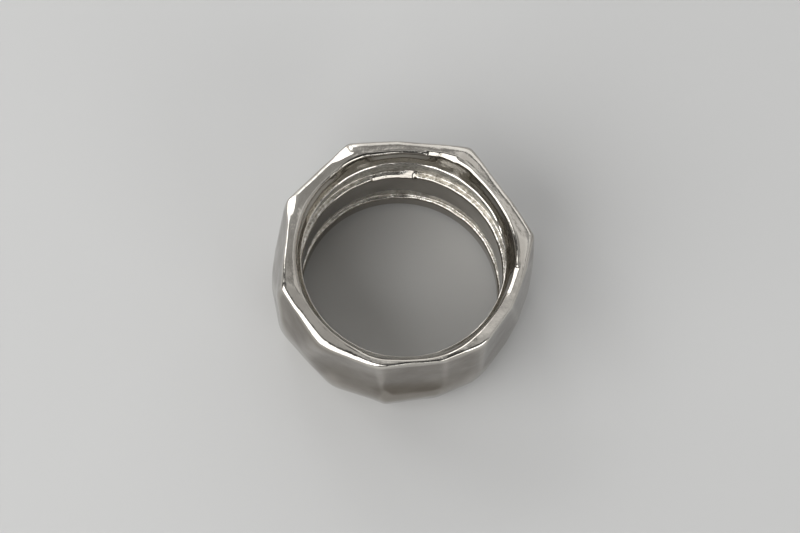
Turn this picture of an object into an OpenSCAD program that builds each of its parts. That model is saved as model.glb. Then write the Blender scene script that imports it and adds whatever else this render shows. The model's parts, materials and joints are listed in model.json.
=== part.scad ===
// A wide cast silver ring. The outside is cut into large uneven facets, in an
// upper tier and a lower skirt. The finger hole has three polished lands and
// two hollowed channels between them. The ring lies on its side, with the
// finger hole upright and the origin at the middle of the face it rests on.

/* [Finger hole] */
// Inside diameter across the polished lands
bore_d = 19; // [16:0.1:23]
// How far outside the finger hole the crest of the top rim lies
crest_reach = 0.98; // [0.8:0.02:1.1]
// Radius of the rounding at that crest
crest_round_r = 0.5; // [0.3:0.05:0.6]
// Radius that eases the inner edge of the rim below
low_edge_r = 0.9; // [0.4:0.1:1]

/* [Band] */
// Width of the band, measured along the finger
band_w = 13; // [10:0.5:16]
// Thickest wall, where the round blank is left between the facets
blank_wall = 2.85; // [2.6:0.05:3.2]

/* [Channels] */
// Depth of the upper channel under the lands
channel_depth = 0.6; // [0.4:0.05:0.8]

/* [Hidden] */
$fn = 96;

bore_r = bore_d / 2;
blank_r = bore_r + blank_wall;

// Height of the widest line of the skirt, above the face the ring rests on
girdle_z = 0.31 * band_w;

// Side of the blocks that cut the facets, well beyond the ring
cut_size = 4 * blank_r;

// Columns of the side facets: the bearing each one faces, counted from +X
// towards +Y, the wall left at the tier's own height, and how far it leans
BEARING = 0;
WALL = 1;
LEAN = 2;

// Upper tier, with the wall measured at the top rim
upper_facets = [
    [100, 1.7, 3],
    [92, 1.6, 3],
    [40.5, 1.65, 5],
    [-6, 1.8, 11],
    [-14.5, 1.55, 5],
    [-29, 1.52, 2],
    [-62, 1.46, 1],
    [-77, 1.16, 0],
    [-105, 1.74, -3],
    [-121, 2.26, 3],
    [-141, 1.86, 8],
    [182, 1.47, 11],
    [142, 1.79, 4]
];

// Skirt, with the wall measured at the girdle
skirt_facets = [
    [-100, 2.1, 13],
    [-73, 1.82, 20],
    [-63, 2.08, 13],
    [-40, 2.25, 9],
    [-24, 1.59, 10],
    [30, 2.5, 12],
    [72, 2.3, 15],
    [112, 2.3, 13],
    [150, 2.55, 14],
    [200, 2.4, 14],
    [230, 2.5, 14]
];

// Flats around the girdle that trim the round blank
girdle_facets = [
    [200, 2.72, 0],
    [229, 2.65, 0],
    [-90, 2.45, 0],
    [90, 2.45, 0],
    [50, 2.6, 0],
    [130, 2.6, 0]
];

// Undercut below the girdle, with the wall measured at the resting face
under_facets = [
    [10, 1.5, -15],
    [50, 1.45, -14],
    [92, 1.4, -15],
    [138, 1.5, -13],
    [182, 1.5, -15],
    [226, 1.45, -14],
    [259, 1.38, -13],
    [285, 1.1, -13],
    [298, 1.32, -13],
    [327, 1.4, -13],
    [348, 1.5, -14]
];

// Columns of the rim flats: the bearing and how far the flat drops outwards
TILT = 1;
rim_flats = [
    [95, 6],
    [41, 7],
    [8, 3],
    [-25, 7],
    [-76, 4],
    [232, 9],
    [181, 4],
    [141, 6]
];
// Distance from the axis at which every rim flat would be at its full height
rim_crest_r = 0.97 * bore_r;

// Columns of the channels: lower and upper edge, as shares of the band's width,
// and the depth, as a share of the upper channel's depth
LOWER = 0;
UPPER = 1;
DEPTH = 2;
channels = [
    [0.16, 0.345, 0.75],
    [0.595, 0.87, 1]
];

// The flare of the finger hole starts just above the upper channel
flare_foot_z = (channels[1][UPPER] + 0.01) * band_w;
// The crest lies just under the full width, where the flattest rim flats meet it
crest_z = band_w - 0.07;

// All that lies outside a flat face through the point at this reach and height
module outside_of(bearing, reach, height, lean) {
    rotate([0, 0, bearing])
        translate([reach, 0, height])
            rotate([0, -lean, 0])
                translate([0, -cut_size / 2, -cut_size / 2])
                    cube(cut_size);
}

// All that lies outside a tier of side facets
module outside_tier(facets, height) {
    for (facet = facets)
        outside_of(facet[BEARING], bore_r + facet[WALL], height, facet[LEAN]);
}

// The round blank
module blank() {
    cylinder(h = band_w, r = blank_r);
}

module upper_tier() {
    difference() {
        blank();
        outside_tier(upper_facets, band_w);
    }
}

module skirt() {
    difference() {
        blank();
        outside_tier(skirt_facets, girdle_z);
    }
}

// Everything above the tilted flats of the top rim
module above_rim_flats() {
    for (flat = rim_flats)
        outside_of(flat[BEARING], rim_crest_r, band_w, 90 - flat[TILT]);
}

module outer_form() {
    difference() {
        union() {
            upper_tier();
            skirt();
        }
        outside_tier(girdle_facets, girdle_z);
        outside_tier(under_facets, 0);
        above_rim_flats();
    }
}

// Finger hole, right through
module finger_hole() {
    translate([0, 0, -1])
        cylinder(h = band_w + 2, r = bore_r);
}

// What the flare and the rounded crest of the top rim take away
module flare_cut() {
    round_mid = [bore_r + crest_reach, crest_z - crest_round_r];
    run = round_mid - [bore_r, flare_foot_z];
    // The flare is the line from its foot that just touches the rounding
    lean = atan2(run[0], run[1]) - asin(crest_round_r / norm(run));
    touch = round_mid + crest_round_r * [-cos(lean), sin(lean)];
    rotate_extrude()
        difference() {
            polygon([
                [bore_r - 1, flare_foot_z],
                [bore_r, flare_foot_z],
                touch,
                round_mid,
                [round_mid[0], band_w + 1],
                [bore_r - 1, band_w + 1]
            ]);
            translate(round_mid)
                circle(r = crest_round_r);
        }
}

// What the rounding of the lower rim's inner edge takes away
module low_edge_cut() {
    rotate_extrude()
        translate([bore_r, 0])
            difference() {
                translate([-1, -1])
                    square([1 + low_edge_r, 1 + low_edge_r]);
                translate([low_edge_r, low_edge_r])
                    circle(r = low_edge_r);
            }
}

// A hollow with a steep ledge below, a round bottom and a long slope above
module channel_cut(lower_z, upper_z, depth) {
    bottom_r = depth - 0.1;
    rotate_extrude()
        hull() {
            translate([bore_r + depth - bottom_r, lower_z + 1.5 * bottom_r])
                circle(r = bottom_r);
            translate([bore_r - 0.6, lower_z])
                square([0.6, upper_z - lower_z]);
        }
}

module ring_band() {
    color("silver")
        difference() {
            outer_form();
            finger_hole();
            flare_cut();
            low_edge_cut();
            for (channel = channels)
                channel_cut(channel[LOWER] * band_w, channel[UPPER] * band_w,
                    channel[DEPTH] * channel_depth);
        }
}

ring_band();
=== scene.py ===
# %% [markdown]
# A cast silver ring.
# The ring is one casting. Its outside was filed into large uneven facets and polished,
# its finger hole was bored to three smooth lands, and two channels between the lands were
# left as they came out of the mould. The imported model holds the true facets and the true
# hole, so the script starts by loading it, and everything else is worked out from it.

# %% Load the frame
import json
import math

import bmesh
import bpy
import numpy as np
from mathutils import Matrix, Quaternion, Vector


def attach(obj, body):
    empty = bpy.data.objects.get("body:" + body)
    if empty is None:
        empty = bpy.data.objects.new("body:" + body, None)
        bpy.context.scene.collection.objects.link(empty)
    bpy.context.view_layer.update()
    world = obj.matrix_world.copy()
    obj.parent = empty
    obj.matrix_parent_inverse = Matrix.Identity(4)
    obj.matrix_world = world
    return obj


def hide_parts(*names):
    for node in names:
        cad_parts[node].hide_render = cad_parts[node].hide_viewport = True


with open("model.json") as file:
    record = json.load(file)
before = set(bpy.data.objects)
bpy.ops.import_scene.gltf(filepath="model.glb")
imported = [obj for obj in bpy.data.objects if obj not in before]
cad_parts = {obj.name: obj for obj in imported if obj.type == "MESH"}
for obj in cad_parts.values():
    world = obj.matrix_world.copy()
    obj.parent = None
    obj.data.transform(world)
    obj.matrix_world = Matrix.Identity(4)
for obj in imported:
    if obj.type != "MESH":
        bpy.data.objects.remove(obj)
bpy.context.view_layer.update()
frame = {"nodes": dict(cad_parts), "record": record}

MM = 0.001
BAND_W = 13 * MM
finger_bore = next(m for m in frame["record"]["mounts"] if m["name"] == "finger_bore")
BORE_R = finger_bore["dims"]["r_mm"] * MM

# %% [markdown]
# The camera comes before any modelling, so that each later step can be judged from the
# right place. It looks down on the ring at 71 degrees from 200 mm away, and it is rolled
# a little. A long lens keeps the far rim and the near rim close in size.

# %% Camera
CAMERA_ELEVATION = 70.967
CAMERA_DISTANCE = 200.3 * MM
CAMERA_ROLL = 6.488
CAMERA_AIM = Vector((-0.25, 0.9, 6.5)) * MM
LENS_MM = 94.6

camera = bpy.data.objects.new("camera", bpy.data.cameras.new("camera"))
bpy.context.scene.collection.objects.link(camera)
elevation = math.radians(CAMERA_ELEVATION)
towards_camera = Vector((0, -math.cos(elevation), math.sin(elevation)))
camera.location = CAMERA_AIM + CAMERA_DISTANCE * towards_camera
roll = Quaternion((0, 0, 1), math.radians(CAMERA_ROLL))
camera.rotation_mode = "QUATERNION"
camera.rotation_quaternion = (-towards_camera).to_track_quat("-Z", "Y") @ roll
camera.data.lens = LENS_MM
camera.data.clip_start = 10 * MM
camera.data.clip_end = 50
bpy.context.scene.camera = camera
print("camera at", [round(c / MM, 1) for c in camera.location], "mm")

# %% [markdown]
# Every node tree in this lesson, for shapes and for materials, is built with one helper.
# It adds a node, sets its settings, and joins or fills its inputs. A second helper turns a
# colour as a screen shows it into the linear values that Blender works in.


# %% Two helpers
def add(tree, kind, inputs=None, **settings):
    """Adds a node. inputs maps a socket's name or number to a value, a node or a socket."""
    node = tree.nodes.new(kind)
    for name, value in settings.items():
        setattr(node, name, value)
    for name, value in (inputs or {}).items():
        if isinstance(value, bpy.types.Node):
            value = value.outputs[0]
        if isinstance(value, bpy.types.NodeSocket):
            tree.links.new(value, node.inputs[name])
        else:
            node.inputs[name].default_value = value
    return node


def linear(srgb_hex):
    """An sRGB hex colour as a linear one."""
    channels = [int(srgb_hex[i:i + 2], 16) / 255 for i in (1, 3, 5)]
    return [c / 12.92 if c <= 0.04045 else ((c + 0.055) / 1.055) ** 2.4 for c in channels] + [1.0]


# %% [markdown]
# Polished sterling silver is a mirror with a warm cast. Hand polishing leaves it a little
# hazy and uneven, so the roughness wanders between two values. Its colour is darkened
# nearly all the way to a dark grey. A little of that is tarnish, and most is painted shade
# for the dark surroundings that the walls mirror. The darkening is lifted on the rim where
# it faces up, on the flare and a little on the lands, as painted light with some wear from
# handling, and on the creases, as wear and a painted highlight. So the colour reads two
# attributes that the ring's own tree stores later, and a large soft noise makes the
# darkening a little patchy.

# %% Polished sterling silver, its colour with painted shade and light, and its haze
# The dark colour is tarnish in part, and in larger part painted shade.
POLISHED_LIGHT = "#E6E2DA"
POLISHED_SHADE_AND_TARNISH = "#7A736A"
DARKENING_SHARE = 0.95       # how far the darkening takes the colour from light to dark: tarnish and painted shade
CREASE_WEAR_AND_HIGHLIGHT = 0.3          # how much lighter a crease is: wear and a painted highlight
DARKENING_PATCH_MM = 5.0
DARKENING_SPREAD = 0.12      # how much more or less darkening a patch has
HAZE_PATCH_MM = 1.6
HAZE_ROUGHNESS = (0.09, 0.18)
NOISE_LOW, NOISE_HIGH = 0.3, 0.7     # nearly all values of a noise texture lie between these

polished = bpy.data.materials.new("polished_sterling_silver")
polished.use_nodes = True
tree = polished.node_tree
tree.nodes.clear()
place = add(tree, "ShaderNodeTexCoord").outputs["Object"]
# Lighter places: painted light where the ring faces up and on the flare, with some wear, and creases that
# are worn and carry a painted highlight.
rubbed = add(tree, "ShaderNodeAttribute", attribute_name="rubbed").outputs["Fac"]
crease = add(tree, "ShaderNodeAttribute", attribute_name="crease").outputs["Fac"]
lifted = add(tree, "ShaderNodeMath", {0: crease, 1: CREASE_WEAR_AND_HIGHLIGHT, 2: rubbed}, operation="MULTIPLY_ADD")
still_dark = add(tree, "ShaderNodeMath", {0: 1.0, 1: lifted}, operation="SUBTRACT")
patches = add(tree, "ShaderNodeTexNoise",
              {"Vector": place, "Scale": 1 / (DARKENING_PATCH_MM * MM), "Detail": 3.0})
patchy = add(tree, "ShaderNodeMapRange",
             {"Value": patches, "From Min": NOISE_LOW, "From Max": NOISE_HIGH,
              "To Min": -DARKENING_SPREAD, "To Max": DARKENING_SPREAD})
# The darkening is tarnish and painted shade, patchy at random.
darkened = add(tree, "ShaderNodeMath", {0: still_dark, 1: DARKENING_SHARE, 2: patchy},
           operation="MULTIPLY_ADD", use_clamp=True)
colour = add(tree, "ShaderNodeMix", {0: darkened, 6: linear(POLISHED_LIGHT), 7: linear(POLISHED_SHADE_AND_TARNISH)},
             data_type="RGBA").outputs[2]
haze = add(tree, "ShaderNodeTexNoise", {"Vector": place, "Scale": 1 / (HAZE_PATCH_MM * MM), "Detail": 4.0})
roughness = add(tree, "ShaderNodeMapRange",
                {"Value": haze, "From Min": NOISE_LOW, "From Max": NOISE_HIGH,
                 "To Min": HAZE_ROUGHNESS[0], "To Max": HAZE_ROUGHNESS[1]})
print("roughness of the polished silver", HAZE_ROUGHNESS)

# %% [markdown]
# A polished surface shows how it was worked. The buff leaves soft dimples, the paste leaves
# hairlines, and under them lie short file marks that run one way. They are too shallow or
# too fine for the mesh, so Bump nodes bend the reflections without moving the surface.
# Real hairlines are a few hundredths of a millimetre wide. They are drawn coarser here,
# because finer ones wouldn't show.

# %% Polished sterling silver, its fine marks
SATIN_MM = 0.35
HAIRLINE_MM = 0.12
FILE_MARK_MM = (0.06, 1.4, 0.5)     # the size of a mark along each axis, before it is turned

satin = add(tree, "ShaderNodeTexNoise", {"Vector": place, "Scale": 1 / (SATIN_MM * MM), "Detail": 1.0})
soft = add(tree, "ShaderNodeBump", {"Height": satin, "Strength": 0.5, "Distance": 0.02 * MM})
hairlines = add(tree, "ShaderNodeTexNoise",
                {"Vector": place, "Scale": 1 / (HAIRLINE_MM * MM), "Detail": 5.0})
fine = add(tree, "ShaderNodeBump",
           {"Height": hairlines, "Strength": 0.12, "Distance": 0.02 * MM, "Normal": soft})
turned = add(tree, "ShaderNodeMapping", {"Vector": place, "Rotation": (0.2, 0.1, 0.6),
                                         "Scale": [1 / (size * MM) for size in FILE_MARK_MM]})
marks = add(tree, "ShaderNodeTexNoise", {"Vector": turned, "Scale": 1.0, "Detail": 2.0})
marked = add(tree, "ShaderNodeBump",
             {"Height": marks, "Strength": 0.15, "Distance": 0.01 * MM, "Normal": fine})
shader = add(tree, "ShaderNodeBsdfPrincipled",
             {"Base Color": colour, "Metallic": 1.0, "Roughness": roughness, "Normal": marked})
add(tree, "ShaderNodeOutputMaterial", {"Surface": shader})
print("material", polished.name, "with", len(tree.nodes), "nodes")

# %% [markdown]
# The channels were never polished. Silver as it leaves the mould has a fine granular skin
# that scatters light, greyer and duller than the polished metal, with small bright flecks
# where a grain happens to face a light. Tumbling rubs the tops of the grains, so the high
# parts of the pattern are smoother than the pits, and a channel's lips are smoother still.
# The grains are drawn a few times coarser than real ones, so that they show.

# %% Silver as cast
CAST_LIGHT = "#E6E3DC"
CAST_DARK = "#A29C92"
GRAIN_MM = 0.28
GRAIN_LOW, GRAIN_HIGH = 0.35, 0.65      # noise values of the pits and of the tops
PIT_ROUGHNESS, TOP_ROUGHNESS = 0.5, 0.35
LIP_ROUGHNESS = 0.16
GRIT_MM = 0.09

as_cast = bpy.data.materials.new("sterling_silver_as_cast")
as_cast.use_nodes = True
tree = as_cast.node_tree
tree.nodes.clear()
place = add(tree, "ShaderNodeTexCoord").outputs["Object"]
grain = add(tree, "ShaderNodeTexNoise", {"Vector": place, "Scale": 1 / (GRAIN_MM * MM), "Detail": 4.0})
grit = add(tree, "ShaderNodeTexNoise", {"Vector": place, "Scale": 1 / (GRIT_MM * MM), "Detail": 2.0})
top_share = add(tree, "ShaderNodeMapRange",
                {"Value": grain, "From Min": GRAIN_LOW, "From Max": GRAIN_HIGH})
colour = add(tree, "ShaderNodeMix", {0: top_share, 6: linear(CAST_DARK), 7: linear(CAST_LIGHT)},
             data_type="RGBA").outputs[2]
rough_grain = add(tree, "ShaderNodeMapRange",
                  {"Value": top_share, "To Min": PIT_ROUGHNESS, "To Max": TOP_ROUGHNESS})
raw = add(tree, "ShaderNodeAttribute", attribute_name="as_cast").outputs["Fac"]
roughness = add(tree, "ShaderNodeMix", {0: raw, 2: LIP_ROUGHNESS, 3: rough_grain})
coarse = add(tree, "ShaderNodeBump", {"Height": grain, "Strength": 0.4, "Distance": 0.05 * MM})
fine = add(tree, "ShaderNodeBump",
           {"Height": grit, "Strength": 0.6, "Distance": 0.03 * MM, "Normal": coarse})
shader = add(tree, "ShaderNodeBsdfPrincipled",
             {"Base Color": colour, "Metallic": 1.0, "Roughness": roughness, "Normal": fine})
add(tree, "ShaderNodeOutputMaterial", {"Surface": shader})
print("material", as_cast.name, "with", len(tree.nodes), "nodes")

# %% [markdown]
# The finger hole was turned round, so one section can be swept round all of it. The
# section could be drawn by hand as a curve, but here its points are worked out from the
# sizes, so that a size can be changed later. From below it has an eased edge, a land, a
# channel, a land, a second channel with a thin lip above it, and a flare that bends once
# and ends in a rounded crest. Each channel has a steep ledge below, a round bottom and a
# long slope above. A point is a distance from the axis and a height.

# %% Sizes of the section inside the finger hole
LOW_EDGE_R = 0.9 * MM
CHANNELS = {   # lower and upper edge, as shares of the band's width, and the depth
    "lower": (0.16, 0.345, 0.45 * MM),
    "upper": (0.595, 0.87, 0.6 * MM),
}
LEDGE_R = 0.3 * MM          # rounds the land over into the ledge
LEDGE_RISE = 0.2 * MM       # how far above the channel's lower edge the ledge lies
BOTTOM_R = 0.13 * MM        # rounds the bottom
SLOPE_STEP = 0.19 * MM      # about how far apart the points of a slope are
FLARE_FOOT = 0.88 * BAND_W
LIP = 0.04 * MM             # rounds the lip at the flare's foot
FLARE_BREAK = Vector((BORE_R + 0.41 * MM, BAND_W - 1.0 * MM))     # where the flare bends
CREST_ROUND = 0.42 * MM
CREST_MID = Vector((BORE_R + 0.98 * MM, BAND_W - 0.07 * MM - CREST_ROUND))


# %% Points of lines, arcs and channels
def touch_point(start, centre, radius):
    """Where a line from a point touches a circle, on its left as seen from the point."""
    to_centre = centre - start
    direction = math.atan2(to_centre.y, to_centre.x) + math.asin(radius / to_centre.length)
    reach = math.sqrt(to_centre.length ** 2 - radius ** 2)
    return start + reach * Vector((math.cos(direction), math.sin(direction)))


def line(start, end, steps):
    """Points from start, without the end."""
    return [start.lerp(end, i / steps) for i in range(steps)]


def arc(centre, start, end, steps):
    """Points along the shorter way round a circle, without the end."""
    first, last = (math.atan2(p.y - centre.y, p.x - centre.x) for p in (start, end))
    last -= math.tau * round((last - first) / math.tau)
    radius = (start - centre).length
    angles = [first + (last - first) * i / steps for i in range(steps)]
    return [centre + radius * Vector((math.cos(a), math.sin(a))) for a in angles]


def channel(low, high, depth):
    """A channel's points from its lower edge to its upper edge."""
    lip_mid = Vector((BORE_R + LEDGE_R, low + LEDGE_RISE - LEDGE_R))
    lip_end = lip_mid + Vector((0, LEDGE_R))
    bottom_mid = Vector((BORE_R + depth - BOTTOM_R, lip_end.y + BOTTOM_R))
    upper = Vector((BORE_R, high))
    slope = touch_point(upper, bottom_mid, BOTTOM_R)
    slope_steps = round((high - low) / SLOPE_STEP)
    return (arc(lip_mid, lip_mid - Vector((LEDGE_R, 0)), lip_end, 5) + [lip_end]
            + arc(bottom_mid, bottom_mid - Vector((0, BOTTOM_R)), slope, 5)
            + line(slope, upper, slope_steps))


lower_z, upper_z = ([share * BAND_W for share in CHANNELS[name][:2]] for name in CHANNELS)
middle_z = (lower_z[1] + upper_z[0]) / 2
foot = Vector((BORE_R, FLARE_FOOT))
lip_top = foot + Vector((LIP, 0))
touch = touch_point(FLARE_BREAK, CREST_MID, CREST_ROUND)
for low, high in ((lip_top, FLARE_BREAK), (FLARE_BREAK, touch)):
    print("flare leans", round(math.degrees(math.atan2(high.x - low.x, high.y - low.y)), 1), "degrees")

# %% [markdown]
# The outside isn't round, so each of its stations looks outwards from a spine in the
# middle of the metal at an angle of its own, and takes its distance from the model's own
# facets. The crest is taken from both: it is round, but where a rim flat cuts lower, the
# flat wins. Each station also carries weights from 0 to 1 for the later steps: where the
# skin is as cast, where an edge may wander, where polishing softens the metal, and where
# painted light, with some wear, lifts the painted shade.

# %% The spine, and where the stations' weights fade
SPINE_R = BORE_R + 0.9 * MM
SPINE_TOP = BAND_W - 0.9 * MM
SPINE_BEND = SPINE_TOP - 1.5 * MM     # above this the stations lie closer
SPINE_LOW = 0.9 * MM
FREE_REACH = 3.4 * MM      # further than any point of the outside lies from the spine
CREST_END = 78             # the angle at which the rounded crest ends

CAST_FADE = (0.15 * MM, 0.5 * MM)     # heights above a channel's lower edge
SLOPE_FADE = 0.2 * MM                 # height below its upper edge
WANDER_FADE = 1.2 * MM                # height from the middle of the middle land
PAINTED_LIGHT_AND_WEAR_LAND, PAINTED_LIGHT_AND_WEAR_FLARE, PAINTED_LIGHT_AND_WEAR_RIM = 0.3, 0.8, 0.5     # the share of the painted shade that is lifted: painted light, with some wear
# Outwards, each pair holds the angles at which a weight is 0 and 1
OUTSIDE_FADE = (90, 70)
UNEVEN_FADE = (-90, -70)
UPPER_FADE = (45, 20)
CREST_FADE = (50, CREST_END)
# The rim's painted light grows as it turns to face up.
PAINTED_LIGHT_AND_WEAR_FADE = (5, 30)


def ramp(value, zero_at, one_at):
    """0 at one value, 1 at another, and straight between them."""
    return min(1.0, max(0.0, (value - zero_at) / (one_at - zero_at)))


# %% Two kinds of station
def in_hole(points):
    """Stations at known points."""
    for point in points:
        z = point.y
        cast = max(min(ramp(z, low + CAST_FADE[0], low + CAST_FADE[1]), ramp(z, high, high - SLOPE_FADE))
                   for low, high in (lower_z, upper_z))
        free = min(ramp(abs(z - middle_z), 0, WANDER_FADE), ramp(z, SPINE_LOW, lower_z[0]),
                   ramp(z, touch.y, upper_z[1]))
        # Painted light, with some wear: lighter towards the flare.
        rubbed = PAINTED_LIGHT_AND_WEAR_LAND + (PAINTED_LIGHT_AND_WEAR_FLARE - PAINTED_LIGHT_AND_WEAR_LAND) * ramp(z, upper_z[1], FLARE_FOOT)
        near_crest = ramp(z, FLARE_BREAK.y, touch.y)
        yield {"start": (point.x, 0, z), "aim": (1, 0, 0), "reach": 0.0, "as_cast": cast, "movable": free,
               "outside": 0.0, "uneven": near_crest, "upper": 0.0, "crest": near_crest, "rubbed": rubbed}


def outward(z_from, z_to, angle_from, angle_to, steps, round_crest=False):
    """Stations that look outwards from the spine. An angle of 0 looks level and 90 looks up."""
    for i in range(steps):
        z = z_from + (z_to - z_from) * i / steps
        angle = angle_from + (angle_to - angle_from) * i / steps
        aim = Vector((math.cos(math.radians(angle)), math.sin(math.radians(angle))))
        reach = FREE_REACH
        if round_crest:
            to_mid = CREST_MID - Vector((SPINE_R, z))
            along = to_mid.dot(aim)
            reach = along + math.sqrt(CREST_ROUND ** 2 - to_mid.length_squared + along ** 2)
        # The rim is lighter where it faces up: painted light, with some wear.
        yield {"start": (SPINE_R, 0, z), "aim": (aim.x, 0, aim.y), "reach": reach, "as_cast": 0.0,
               "movable": 0.0, "outside": ramp(abs(angle), *OUTSIDE_FADE),
               "uneven": ramp(angle, *UNEVEN_FADE),
               "upper": min(ramp(angle, *UPPER_FADE), ramp(z, BAND_W / 2, SPINE_TOP)),
               "crest": ramp(angle, *CREST_FADE), "rubbed": PAINTED_LIGHT_AND_WEAR_RIM * ramp(angle, *PAINTED_LIGHT_AND_WEAR_FADE)}


# %% All stations, up the hole, over the rim, down the outside and back
spine_top, spine_low = Vector((SPINE_R, SPINE_TOP)), Vector((SPINE_R, SPINE_LOW))
crest_from = math.degrees(math.atan2(touch.y - spine_top.y, touch.x - spine_top.x))
middle = Vector((BORE_R, middle_z))
low_edge = Vector((BORE_R, LOW_EDGE_R))
# The last number of each line is its count of stations, higher where the surface turns
rows = [
    *in_hole(line(middle, Vector((BORE_R, upper_z[0])), 5)),
    *in_hole(channel(*upper_z, CHANNELS["upper"][2])),
    *in_hole([Vector((BORE_R, upper_z[1]))]),
    *in_hole(arc(foot + Vector((LIP, -LIP)), foot - Vector((0, LIP)), lip_top, 4)),
    *in_hole(line(lip_top, FLARE_BREAK, 5)),
    *in_hole(line(FLARE_BREAK, touch, 3)),
    *outward(SPINE_TOP, SPINE_TOP, crest_from, CREST_END, 14, round_crest=True),
    *outward(SPINE_TOP, SPINE_TOP, CREST_END, 0, 30),
    *outward(SPINE_TOP, SPINE_BEND, 0, 0, 12),
    *outward(SPINE_BEND, SPINE_LOW, 0, 0, 38),
    *outward(SPINE_LOW, SPINE_LOW, 0, -90, 12),
    *in_hole(arc(spine_low, Vector((SPINE_R, 0)), low_edge, 9)),
    *in_hole(line(low_edge, Vector((BORE_R, lower_z[0])), 6)),
    *in_hole(channel(*lower_z, CHANNELS["lower"][2])),
    *in_hole(line(Vector((BORE_R, lower_z[1])), middle, 5)),
]
count = len(rows)
print(count, "stations in the section")

# %% [markdown]
# Geometry Nodes reads what is stored on a mesh, so the section becomes a closed loop of
# edges, and each value of its stations becomes an attribute of its points. A list of
# numbers could be fed to the tree in other ways, but named attributes can be looked at in
# the Spreadsheet. The loop is a plain circle, because the tree gives every point its place.

# %% The section as a mesh
circle = [(math.cos(math.tau * i / count), math.sin(math.tau * i / count), 0) for i in range(count)]
section_mesh = bpy.data.meshes.new("section")
section_mesh.from_pydata(circle, [(i, (i + 1) % count) for i in range(count)], [])
for name, first in rows[0].items():
    is_vector = isinstance(first, tuple)
    layer = section_mesh.attributes.new(name, "FLOAT_VECTOR" if is_vector else "FLOAT", "POINT")
    values = np.array([row[name] for row in rows], np.float32).ravel()
    layer.data.foreach_set("vector" if is_vector else "value", values)
section = bpy.data.objects.new("section", section_mesh)
bpy.context.scene.collection.objects.link(section)
print("stored on the section:", ", ".join(rows[0]))

# %% [markdown]
# The outside has to follow the model's own facets, and it will find them with rays. The
# rays need a body to hit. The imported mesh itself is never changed, so a copy of it is
# merged into one connected surface and used as the target.

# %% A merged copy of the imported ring
MERGE_DISTANCE = 1e-7

target_mesh = frame["nodes"]["ring_band"].data.copy()
merged = bmesh.new()
merged.from_mesh(target_mesh)
bmesh.ops.remove_doubles(merged, verts=merged.verts, dist=MERGE_DISTANCE)
merged.to_mesh(target_mesh)
print("target volume", round(merged.calc_volume() / MM ** 3, 1), "mm3,", len(merged.faces), "faces")
merged.free()
target = bpy.data.objects.new("target", target_mesh)
bpy.context.scene.collection.objects.link(target)

# %% [markdown]
# Now the Geometry Nodes tree that makes the ring's skin. Sculpting could give these shapes
# too, but a tree can be read, and each size in it can be tried again. It sweeps the
# section, finds the facets, and then does what the maker's hands and years of wear did.
# Its inputs are the sizes that a maker would want to change.

# %% Geometry Nodes: inputs
form = bpy.data.node_groups.new("ring skin", "GeometryNodeTree")
INPUTS = {
    "Section": ("NodeSocketObject", section),
    "Target": ("NodeSocketObject", target),
    "Turns": ("NodeSocketInt", 500),
    "Free Reach": ("NodeSocketFloat", FREE_REACH),
    "Slack": ("NodeSocketFloat", 0.01 * MM),
    "Upper Slack": ("NodeSocketFloat", 0.22 * MM),
    "Softening": ("NodeSocketInt", 3),
    "Edge Wander": ("NodeSocketFloat", 0.6 * MM),
    "Depth Wander": ("NodeSocketFloat", 0.4 * MM),
    "Lump Height": ("NodeSocketFloat", 0.22 * MM),
    "Waviness": ("NodeSocketFloat", 0.14 * MM),
    "Ripple": ("NodeSocketFloat", 0.035 * MM),
    "Polished": ("NodeSocketMaterial", polished),
    "As Cast": ("NodeSocketMaterial", as_cast),
}
sockets = {name: form.interface.new_socket(name, in_out="INPUT", socket_type=kind)
           for name, (kind, _) in INPUTS.items()}
form.interface.new_socket("Geometry", in_out="OUTPUT", socket_type="NodeSocketGeometry")
given = add(form, "NodeGroupInput").outputs
print(len(sockets), "inputs")

# %% [markdown]
# The skin is the section carried once round the finger. A Screw modifier would do it too,
# but Curve to Mesh keeps the sweep inside the tree, and hands the section's attributes on
# to the skin. The path stores each point's bearing as the attribute "turn", and the later
# steps read it.

# %% Geometry Nodes: sweep the section
index = add(form, "GeometryNodeInputIndex")
circle = add(form, "GeometryNodeCurvePrimitiveCircle", {"Resolution": given["Turns"]})
share_round = add(form, "ShaderNodeMath", {0: index, 1: given["Turns"]}, operation="DIVIDE")
turn = add(form, "ShaderNodeMath", {0: share_round, 1: math.tau}, operation="MULTIPLY")
path = add(form, "GeometryNodeStoreNamedAttribute", {"Geometry": circle, "Name": "turn", "Value": turn},
           data_type="FLOAT")
outline = add(form, "GeometryNodeObjectInfo", {"Object": given["Section"]})
profile = add(form, "GeometryNodeMeshToCurve", {0: outline.outputs["Geometry"]})
swept = add(form, "GeometryNodeCurveToMesh", {"Curve": path, "Profile Curve": profile})

stored = {}
for name, first in {**rows[0], "turn": 0.0}.items():
    kind = "FLOAT_VECTOR" if isinstance(first, tuple) else "FLOAT"
    reader = add(form, "GeometryNodeInputNamedAttribute", {"Name": name}, data_type=kind)
    stored[name] = reader.outputs["Attribute"]
print(len(stored), "attributes to read")

# %% [markdown]
# A ring doesn't wear evenly. The rim's outer edge is rounded most on two stretches at the
# front, and a little all along the back. A painted vertex group could say where, but a
# bearing and two widths can be read and changed, so a small function turns them into a
# weight.

# %% Geometry Nodes: where the edge is most worn
WORN = [   # bearing of the middle, half width of full wear, half width where wear ends
    (241, 20, 28),
    (307, 6, 14),
]
EASED = (95, 65, 80)


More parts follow.
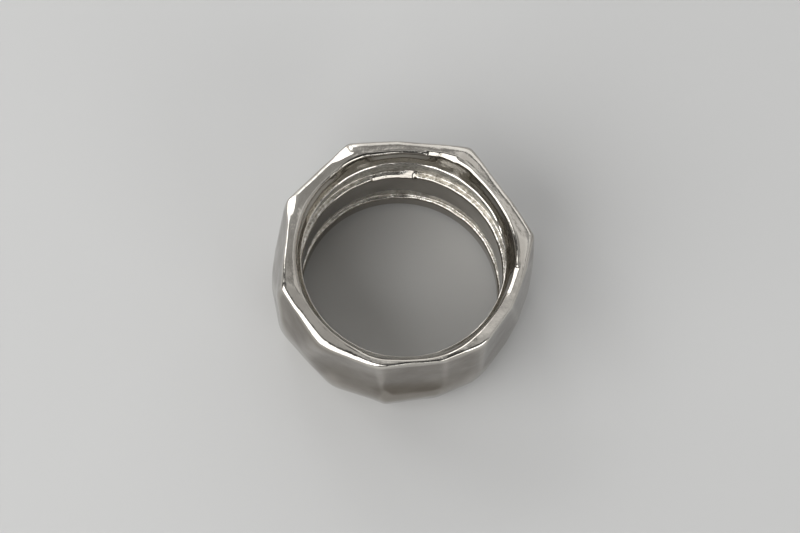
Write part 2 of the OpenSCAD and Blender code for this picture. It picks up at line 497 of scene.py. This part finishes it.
def near(bearing, full, ends):
    """1 near a bearing, falling to 0."""
    past = add(form, "ShaderNodeMath", {0: stored["turn"], 1: math.radians(bearing)}, operation="SUBTRACT")
    off = add(form, "ShaderNodeMath", {0: past, 1: math.pi, 2: -math.pi}, operation="WRAP")
    return add(form, "ShaderNodeMapRange", {
        "Value": add(form, "ShaderNodeMath", {0: off}, operation="ABSOLUTE"),
        "From Min": math.radians(full), "From Max": math.radians(ends),
        "To Min": 1.0, "To Max": 0.0}, interpolation_type="SMOOTHSTEP")


worn = 0.0
for stretch in WORN:
    worn = add(form, "ShaderNodeMath", {0: near(*stretch), 1: worn}, operation="MAXIMUM")
eased = near(*EASED)
worn_outside, eased_outside = (
    add(form, "ShaderNodeMath", {0: weight, 1: stored["outside"]}, operation="MULTIPLY")
    for weight in (worn, eased))
print(len(WORN), "worn stretches")

# %% [markdown]
# Each station now finds its place. A ray starts beyond the facets and runs in towards the
# spine, and where it hits the model is where the skin goes. A Shrinkwrap modifier works
# much the same way, but it can't aim each point by itself, and the aims keep the points
# evenly spread over the rim's sharp corners. The slack lets the skin stand a little
# further out, most at the back, because the averaging of the next step draws it in.

# %% Geometry Nodes: cast the rays
start, aim = (add(form, "ShaderNodeVectorRotate", {"Vector": stored[name], "Angle": stored["turn"]},
                  rotation_type="Z_AXIS") for name in ("start", "aim"))
beyond = add(form, "ShaderNodeVectorMath", {0: aim, 1: given["Free Reach"], 2: start},
             operation="MULTIPLY_ADD")
inwards = add(form, "ShaderNodeVectorMath", {0: aim, "Scale": -1.0}, operation="SCALE")
body = add(form, "GeometryNodeObjectInfo", {"Object": given["Target"]})
ray = add(form, "GeometryNodeRaycast",
          {"Target Geometry": body.outputs["Geometry"], "Source Position": beyond,
           "Ray Direction": inwards, "Ray Length": given["Free Reach"]})
hit = add(form, "ShaderNodeMath", {0: given["Free Reach"], 1: ray.outputs["Hit Distance"]},
          operation="SUBTRACT")
upper_share = add(form, "ShaderNodeMath", {0: eased, 1: stored["upper"]}, operation="MULTIPLY")
slack = add(form, "ShaderNodeMath", {0: upper_share, 1: given["Upper Slack"], 2: given["Slack"]},
            operation="MULTIPLY_ADD")
found = add(form, "ShaderNodeMath", {0: hit, 1: slack}, operation="ADD")
distance = add(form, "ShaderNodeMath", {0: found, 1: stored["reach"]}, operation="MINIMUM")
surface = add(form, "ShaderNodeVectorMath", {0: aim, 1: distance, 2: start}, operation="MULTIPLY_ADD")
shaped = add(form, "GeometryNodeSetPosition", {"Geometry": swept, "Position": surface})
print(count * INPUTS["Turns"][1], "rays")

# %% [markdown]
# A buff rounds every edge that it crosses. A Bevel modifier needs clean edges, and these
# facets meet in slivers, so each point moves to a weighted average of its neighbours
# instead. The neighbours are counted off along the section, which rounds the rim's outer
# edge. One pass counts in strides of a whole section, which rounds the corners between
# facets too, on the worn stretches.

# %% Geometry Nodes: round the edges
EDGE_SPREAD = 3      # stations
WEAR_SPREAD = 4
WEAR_PASSES = 4

position = add(form, "GeometryNodeInputPosition")
point_total = add(form, "ShaderNodeMath", {0: given["Turns"], 1: float(count)}, operation="MULTIPLY")


def averaged(geometry, weight, spread, stride=1):
    """Points moved to the average of their neighbours, with a bell curve's shares."""
    steps = range(-2 * spread, 2 * spread + 1)
    shares = [math.exp(-0.5 * (step / spread) ** 2) for step in steps]
    total = (0.0, 0.0, 0.0)
    for step, share in zip(steps, shares):
        beside = add(form, "ShaderNodeMath", {0: index, 1: float(step * stride)}, operation="ADD")
        neighbour = add(form, "ShaderNodeMath", {0: beside, 1: point_total, 2: 0.0}, operation="WRAP")
        sample = add(form, "GeometryNodeFieldAtIndex", {"Index": neighbour, "Value": position},
                     data_type="FLOAT_VECTOR")
        total = add(form, "ShaderNodeVectorMath", {0: sample, 1: [share / sum(shares)] * 3, 2: total},
                    operation="MULTIPLY_ADD")
    mixed = add(form, "ShaderNodeMix", {0: weight, 4: position, 5: total}, data_type="VECTOR")
    return add(form, "GeometryNodeSetPosition", {"Geometry": geometry, "Position": mixed.outputs[1]})


rounded = averaged(shaped, stored["outside"], EDGE_SPREAD)
rounded = averaged(rounded, eased_outside, WEAR_SPREAD)
for _ in range(WEAR_PASSES):
    rounded = averaged(rounded, worn_outside, WEAR_SPREAD)
rounded = averaged(rounded, worn_outside, WEAR_SPREAD, stride=count)
print(len(form.nodes), "nodes so far")

# %% [markdown]
# A few strokes of a file left four small flats: two on the rim's left corners, and two
# inside its crest on the right. A boolean cut would break the even rings of points. But a
# file only takes away what stands over one plane, and that is easy to say: each point that
# is over the plane moves down to it. After that, a light blur softens all of the outside.

# %% Geometry Nodes: small filed flats
# Each flat faces a bearing with a tilt, goes through a point at a distance from the axis
# and a height in mm, and has a stretch. A flat that faces across the hole is at a negative
# distance.
FILED = [
    (170, 22, (11.1, 12.84), (163, 4, 6)),
    (128, 19, (11.05, 12.84), (126.5, 4.5, 5.2)),
    (172, 26, (-10.35, 12.86), (352, 7, 9)),
    (257, 30, (-10.36, 12.86), (76.5, 7, 9)),
]


def over_plane(bearing, tilt, reach, height):
    """Which way a plane faces, tilted from level towards a bearing, and how far each point is over it."""
    bearing, tilt = math.radians(bearing), math.radians(tilt)
    facing = Vector((math.sin(tilt) * math.cos(bearing), math.sin(tilt) * math.sin(bearing), math.cos(tilt)))
    on_plane = Vector((reach * math.cos(bearing), reach * math.sin(bearing), height)) * MM
    along = add(form, "ShaderNodeVectorMath", {0: position, 1: facing}, operation="DOT_PRODUCT")
    over = add(form, "ShaderNodeMath", {0: along.outputs["Value"], 1: facing.dot(on_plane)},
               operation="SUBTRACT")
    return facing, add(form, "ShaderNodeMath", {0: over, 1: 0.0}, operation="MAXIMUM")


def filed_down(geometry, facing, depth):
    """The geometry with a depth of metal taken off, against the way that a flat faces."""
    offset = add(form, "ShaderNodeVectorMath", {0: -facing, "Scale": depth}, operation="SCALE")
    return add(form, "GeometryNodeSetPosition", {"Geometry": geometry, "Offset": offset})


filed = rounded
for bearing, tilt, (reach, height), stretch in FILED:
    facing, over = over_plane(bearing, tilt, reach, height)
    depth = add(form, "ShaderNodeMath", {0: over, 1: near(*stretch)}, operation="MULTIPLY")
    filed = filed_down(filed, facing, depth)
blurred = add(form, "GeometryNodeBlurAttribute",
              {"Value": position, "Iterations": given["Softening"], "Weight": stored["outside"]},
              data_type="FLOAT_VECTOR")
softened = add(form, "GeometryNodeSetPosition", {"Geometry": filed, "Position": blurred})
print(len(FILED), "flats filed")

# %% [markdown]
# The creases between facets are made lighter: partly wear from handling, and partly a
# painted highlight that sets the facets apart. Their place could be painted, but it can
# also be measured: a point on a crease stands out from the average of the points around it,
# and a point in a valley or on a flat doesn't. The polished material reads the result as
# the attribute "crease".

# %% Geometry Nodes: find the creases, which get wear and a painted highlight
CREASE_REACH = 7                   # blur steps, so that many points away
CREASE_HEIGHT_MM = (0.001, 0.012)  # standing out by this much is no crease, and a full crease

normal = add(form, "GeometryNodeInputNormal")
around = add(form, "GeometryNodeBlurAttribute", {"Value": position, "Iterations": CREASE_REACH},
             data_type="FLOAT_VECTOR")
away = add(form, "ShaderNodeVectorMath", {0: position, 1: around}, operation="SUBTRACT")
stands_out = add(form, "ShaderNodeVectorMath", {0: away, 1: normal}, operation="DOT_PRODUCT")
crease = add(form, "ShaderNodeMapRange",
             {"Value": stands_out.outputs["Value"], "From Min": CREASE_HEIGHT_MM[0] * MM,
              "From Max": CREASE_HEIGHT_MM[1] * MM})
crease_outside = add(form, "ShaderNodeMath", {0: crease, 1: stored["outside"]}, operation="MULTIPLY")
# Stored for the colour: a crease gets wear and a painted highlight.
creased = add(form, "GeometryNodeStoreNamedAttribute",
              {"Geometry": softened, "Name": "crease", "Value": crease_outside}, data_type="FLOAT")
print("a full crease stands out by", CREASE_HEIGHT_MM[1], "mm")

# %% [markdown]
# The crest of the rim was finished by eye, so it isn't a true circle. It wanders in and
# out by up to 0.3 mm. Noise would wander too, but not where the real crest does, so a
# Float Curve node holds the shift at a few bearings. Such a curve runs from 0 to 1, and
# its middle stands for no shift.

# %% Geometry Nodes: how far out the crest lies
CREST_SHIFT = [   # bearing and shift in mm
    (0, 0.2), (12, 0.15), (25, 0.08), (42, 0.02), (56, 0.12), (68, 0.3), (80, 0.1), (98, -0.1), (112, 0.0),
    (123, 0.2), (135, 0.06), (155, 0.0), (180, -0.15), (225, -0.13), (250, -0.05), (262, 0.1), (275, -0.05),
    (298, 0.1), (325, -0.1), (348, 0.05), (360, 0.2),
]
NO_SHIFT = 0.5

share_round = add(form, "ShaderNodeMath", {0: stored["turn"], 1: math.tau}, operation="DIVIDE")
shift_curve = add(form, "ShaderNodeFloatCurve", {"Value": share_round})
points = shift_curve.mapping.curves[0].points
for bearing, shift in CREST_SHIFT[1:-1]:
    points.new(bearing / 360, NO_SHIFT + shift)
points[0].location = (0, NO_SHIFT + CREST_SHIFT[0][1])
points[-1].location = (1, NO_SHIFT + CREST_SHIFT[-1][1])
shift_curve.mapping.update()
shift_mm = add(form, "ShaderNodeMath", {0: shift_curve, 1: NO_SHIFT}, operation="SUBTRACT")
crest_shift = add(form, "ShaderNodeMath", {0: shift_mm, 1: MM}, operation="MULTIPLY")
print(len(points), "points on the shift curve")

# %% [markdown]
# No hand-filed facet is quite flat, so two sizes of low waves bend the reflections on the
# rim and the walls. The channels were carved in wax: their edges wander up and down, their
# depth varies, and their skin is lumpy. Noise gives all of these. What differs is the size
# of its features, its height, the way that the points move, and the weight that says
# where. Each noise has its own seed, a shift of its place, so no two look alike.

# %% Geometry Nodes: uneven surfaces
SEED_STEP = 0.1        # how many metres one more seed moves the noise
NOISE_MIDDLE = 0.5


def wander(size_mm, height, seed, detail):
    """Smooth noise round zero, with features of one size, times a height."""
    moved = add(form, "ShaderNodeVectorMath", {0: position, 1: (SEED_STEP * seed, 0.0, 0.0)},
                operation="ADD")
    noise = add(form, "ShaderNodeTexNoise", {"Vector": moved, "Scale": 1 / (size_mm * MM), "Detail": detail})
    round_zero = add(form, "ShaderNodeMath", {0: noise, 1: NOISE_MIDDLE}, operation="SUBTRACT")
    return add(form, "ShaderNodeMath", {0: round_zero, 1: height}, operation="MULTIPLY")


def moved_along(geometry, direction, amount, weight):
    """The geometry with its points moved along a direction, by an amount times a weight."""
    weighted = add(form, "ShaderNodeMath", {0: amount, 1: weight}, operation="MULTIPLY")
    offset = add(form, "ShaderNodeVectorMath", {0: direction, "Scale": weighted}, operation="SCALE")
    return add(form, "GeometryNodeSetPosition", {"Geometry": geometry, "Offset": offset})


flat = add(form, "ShaderNodeVectorMath", {0: position, 1: (1.0, 1.0, 0.0)}, operation="MULTIPLY")
radial = add(form, "ShaderNodeVectorMath", {0: flat}, operation="NORMALIZE")
upward = (0.0, 0.0, 1.0)
UNEVEN = [   # direction, size of the features in mm, height, seed, detail, and the weight
    (normal, 4.0, "Waviness", 1, 1.0, "uneven"),
    (normal, 1.3, "Ripple", 5, 1.0, "uneven"),
    (upward, 2.6, "Edge Wander", 2, 1.0, "movable"),
    (radial, 2.2, "Depth Wander", 3, 1.0, "as_cast"),
    (radial, 0.7, "Lump Height", 4, 2.0, "as_cast"),
]
uneven = moved_along(creased, radial, crest_shift, stored["crest"])
for direction, size_mm, height, seed, detail, weight in UNEVEN:
    uneven = moved_along(uneven, direction, wander(size_mm, given[height], seed, detail), stored[weight])
print(len(UNEVEN), "kinds of unevenness")

# %% [markdown]
# One flat is worn on the ledge of the upper channel, at the back. It is bright, because
# the cast skin is gone from it. It is made like the filed flats, but only below a height,
# so that the slope above stays as it is. Where metal comes off, the weight "as_cast" is
# set to 0, and the next step gives the flat the polished finish.

# %% Geometry Nodes: a flat worn on the upper channel's ledge
LEDGE_FLAT = (283, 40, -9.66, 7.84)   # bearing, tilt, distance from the axis, height
LEDGE_STRETCH = (101, 11, 14)         # bearing of the middle, half widths of the whole and of its fading
LEDGE_TOP_MM = (8.4, 8.5)             # the flat is whole below the first height, and ends at the second
BARE_DEPTH = 0.02 * MM                # this much off lays the metal bare

height = add(form, "ShaderNodeSeparateXYZ", {0: position}).outputs["Z"]
low_part = add(form, "ShaderNodeMapRange",
               {"Value": height, "From Min": LEDGE_TOP_MM[0] * MM, "From Max": LEDGE_TOP_MM[1] * MM,
                "To Min": 1.0, "To Max": 0.0})
facing, over = over_plane(*LEDGE_FLAT)
within = add(form, "ShaderNodeMath", {0: low_part, 1: near(*LEDGE_STRETCH)}, operation="MULTIPLY")
worn_off = add(form, "ShaderNodeMath", {0: over, 1: within}, operation="MULTIPLY")
still_cast = add(form, "ShaderNodeMapRange", {"Value": worn_off, "From Min": 0.0, "From Max": BARE_DEPTH,
                                              "To Min": stored["as_cast"], "To Max": 0.0})
bared = add(form, "GeometryNodeStoreNamedAttribute",
            {"Geometry": uneven, "Name": "as_cast", "Value": still_cast}, data_type="FLOAT")
ledged = filed_down(bared, facing, worn_off)
print("the ledge's flat is", 2 * LEDGE_STRETCH[1], "degrees long")

# %% [markdown]
# The tree ends with the finish. All of the ring gets the polished silver, and then the
# faces in the channels get the silver as cast. Two separate objects would show a gap or an
# overlap between the finishes, and here there is neither. Realize Instances comes last,
# because an export drops instances.

# %% Geometry Nodes: finish and materials
CAST_FROM = 0.02     # the as-cast weight at which the other material starts

whole = add(form, "GeometryNodeSetMaterial", {"Geometry": ledged, "Material": given["Polished"]})
is_cast = add(form, "ShaderNodeMath", {0: stored["as_cast"], 1: CAST_FROM}, operation="GREATER_THAN")
two = add(form, "GeometryNodeSetMaterial",
          {"Geometry": whole, "Material": given["As Cast"], "Selection": is_cast})
smooth = add(form, "GeometryNodeSetShadeSmooth", {"Geometry": two})
real = add(form, "GeometryNodeRealizeInstances", {"Geometry": smooth})
add(form, "NodeGroupOutput", {0: real})
print(len(form.nodes), "nodes in the ring's tree")

# %% [markdown]
# The modifier runs on an object whose mesh is empty. Its inputs are set by their
# identifiers before anything is evaluated, so the tree runs with the right values. The
# result is copied to a plain mesh, which exports and measures like any other, and the
# helper objects go. The ring's object sits at the origin with its place in its mesh. It
# moves with the one body and takes the place of the model's plain ring.

# %% Make the skin a plain mesh
maker = bpy.data.objects.new("maker", bpy.data.meshes.new("maker"))
bpy.context.scene.collection.objects.link(maker)
modifier = maker.modifiers.new("ring skin", "NODES")
modifier.node_group = form
for name, (_, value) in INPUTS.items():
    modifier[sockets[name].identifier] = value
graph = bpy.context.evaluated_depsgraph_get()
ring_mesh = bpy.data.meshes.new_from_object(maker.evaluated_get(graph), preserve_all_data_layers=True,
                                            depsgraph=graph)
ring = bpy.data.objects.new("ring_skin", ring_mesh)
bpy.context.scene.collection.objects.link(ring)
for helper in (maker, section, target):
    bpy.data.objects.remove(helper)
check = bmesh.new()
check.from_mesh(ring_mesh)
print(len(check.faces), "faces, volume", round(check.calc_volume(signed=True) / MM ** 3, 1), "mm3,",
      sum(not edge.is_manifold for edge in check.edges), "open edges")
check.free()
print("materials", [material.name for material in ring_mesh.materials])
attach(ring, "root")
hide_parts("ring_band")

# %% [markdown]
# The ring lies on a plain pale floor. A matt floor takes a soft shadow and mirrors nothing,
# so the eye stays on the metal. It is far wider than the picture, because the ring mirrors
# it right up to the horizon.

# %% Floor
FLOOR_HALF = 1.5
PAPER = "#C2C2C1"

floor_mesh = bpy.data.meshes.new("floor")
corners = [(x * FLOOR_HALF, y * FLOOR_HALF, 0) for x, y in ((-1, -1), (1, -1), (1, 1), (-1, 1))]
floor_mesh.from_pydata(corners, [], [(0, 1, 2, 3)])
floor = bpy.data.objects.new("floor", floor_mesh)
bpy.context.scene.collection.objects.link(floor)
paper = bpy.data.materials.new("matt_paper")
paper.use_nodes = True
tree = paper.node_tree
tree.nodes.clear()
shader = add(tree, "ShaderNodeBsdfPrincipled", {"Base Color": linear(PAPER), "Roughness": 0.9})
add(tree, "ShaderNodeOutputMaterial", {"Surface": shader})
floor_mesh.materials.append(paper)
print("floor", 2 * FLOOR_HALF, "m wide")

# %% [markdown]
# Polished metal shows its surroundings more than itself, so the lights are placed for
# their reflections. A large one low on the left gives the long white streaks, smaller ones
# give the short ones, and dim panels behind and high above give the rim's flats their
# greys. Each light is named for where it stands, and its size is the angle that it fills
# as the ring sees it, because that is what a reflection shows.

# %% Lights
LIGHTS = {   # bearing, elevation, width and height in degrees as the ring sees them, radiance
    "key_front_left": (222, 34, 64, 58, 3.0),
    "strip_front_right": (317, 22, 30, 24, 3.0),
    "strip_front": (288, 28, 10, 12, 3.0),
    "strip_back_left": (151, 28, 18, 32, 3.0),
    "strip_back": (116, 36, 12, 18, 3.0),
    "panel_back": (95, 29, 80, 38, 1.1),
    "panel_right": (15, 32, 60, 36, 0.5),
    "overhead": (85, 64, 76, 25, 0.33),
    "over_right": (38, 68, 50, 20, 0.55),
    "over_left": (155, 78, 20, 18, 0.55),
}
LIGHT_DISTANCE = 0.6
AIM_AT = Vector((0, 0, BAND_W / 2))

for name, (bearing, height, wide, tall, radiance) in LIGHTS.items():
    lamp = bpy.data.lights.new(name, "AREA")
    lamp.shape = "RECTANGLE"
    lamp.size = 2 * LIGHT_DISTANCE * math.tan(math.radians(wide / 2))
    lamp.size_y = 2 * LIGHT_DISTANCE * math.tan(math.radians(tall / 2))
    lamp.energy = radiance * math.pi * lamp.size * lamp.size_y
    light = bpy.data.objects.new(name, lamp)
    bearing, height = math.radians(bearing), math.radians(height)
    level = math.cos(height)
    outwards = Vector((math.cos(bearing) * level, math.sin(bearing) * level, math.sin(height)))
    light.location = AIM_AT + LIGHT_DISTANCE * outwards
    light.rotation_mode = "QUATERNION"
    light.rotation_quaternion = (-outwards).to_track_quat("-Z", "Y")
    bpy.context.scene.collection.objects.link(light)
print(len(LIGHTS), "lights, each", LIGHT_DISTANCE, "m away")

# %% [markdown]
# Between the lights the ring mirrors the world. An even grey would look flat, and black
# would leave holes in the reflections. So the world glows along the horizon, as the walls
# of a studio do, and fades to a dim grey above it.

# %% The world's glow
HORIZON_GLOW, SKY_GLOW = 0.4, 0.07
GLOW_ENDS = 0.3      # how high the glow reaches, where 1 is straight up

world = bpy.data.worlds.new("studio")
bpy.context.scene.world = world
world.use_nodes = True
tree = world.node_tree
tree.nodes.clear()
direction = add(tree, "ShaderNodeTexCoord").outputs["Generated"]
upwards = add(tree, "ShaderNodeSeparateXYZ", {"Vector": direction}).outputs["Z"]
glow = add(tree, "ShaderNodeMapRange", {"Value": upwards, "From Min": 0.0, "From Max": GLOW_ENDS,
                                        "To Min": HORIZON_GLOW, "To Max": SKY_GLOW})
sky = add(tree, "ShaderNodeBackground", {"Color": linear("#FFFFFF"), "Strength": glow})
add(tree, "ShaderNodeOutputWorld", {"Surface": sky})
bpy.context.scene.view_settings.view_transform = "Standard"
print("world glows from", HORIZON_GLOW, "to", SKY_GLOW)
